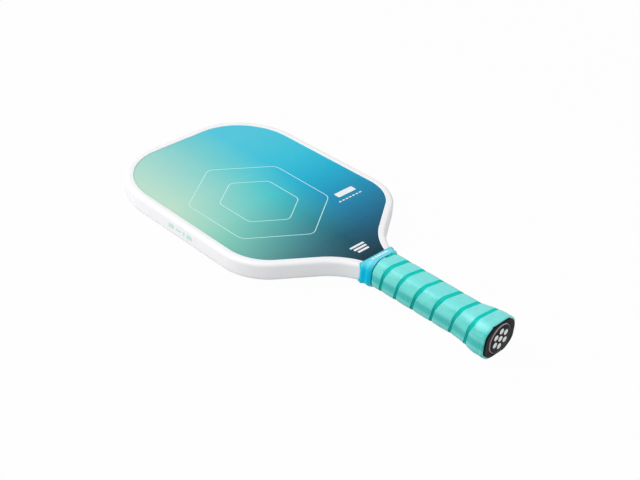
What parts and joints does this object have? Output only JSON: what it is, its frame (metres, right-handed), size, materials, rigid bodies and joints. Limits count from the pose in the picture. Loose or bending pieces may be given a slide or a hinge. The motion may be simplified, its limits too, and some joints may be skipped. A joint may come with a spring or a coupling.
{
  "type": "pickleball paddle",
  "caption": "Pickleball paddle with a honeycomb blade in an edge guard, a spiral-wrapped octagonal grip, a rubber collar and a flared butt cap.",
  "frame": {"origin": "centre of the butt end's face, on the blade's mid-plane", "axes": "+X across the paddle, +Y from the butt end to the tip of the head, +Z out of the front face"},
  "size_m": [0.2, 0.4088, 0.0358],
  "materials": {
    "core": "natural polymer honeycomb",
    "bond_film": "cured adhesive film",
    "face": "fine-textured printed fibre sheet, graded from pale green to blue and deep teal",
    "guard": "satin white moulding",
    "adhesive_tape": "soft adhesive foam",
    "handle_shell": "moulded foam",
    "cap": "fine-grained moulding",
    "badge": "gloss with a white dot ornament",
    "staple": "plain wire",
    "grip": "soft tacky polyurethane over cushion foam",
    "finishing_tape": "thin vinyl tape",
    "collar": "satin rubber"
  },
  "bodies": {
    "root": {"honeycomb_core": "core", "front_bond_film": "bond_film", "rear_bond_film": "bond_film", "front_face_sheet": "face", "rear_face_sheet": "face", "edge_guard": "guard", "edge_guard_tape": "adhesive_tape", "front_handle_shell": "handle_shell", "rear_handle_shell": "handle_shell", "butt_cap": "cap", "butt_badge": "badge", "cap_staples": "staple", "cushion_grip": "grip", "finishing_tape": "finishing_tape", "grip_collar": "collar"}
  },
  "joints": []
}
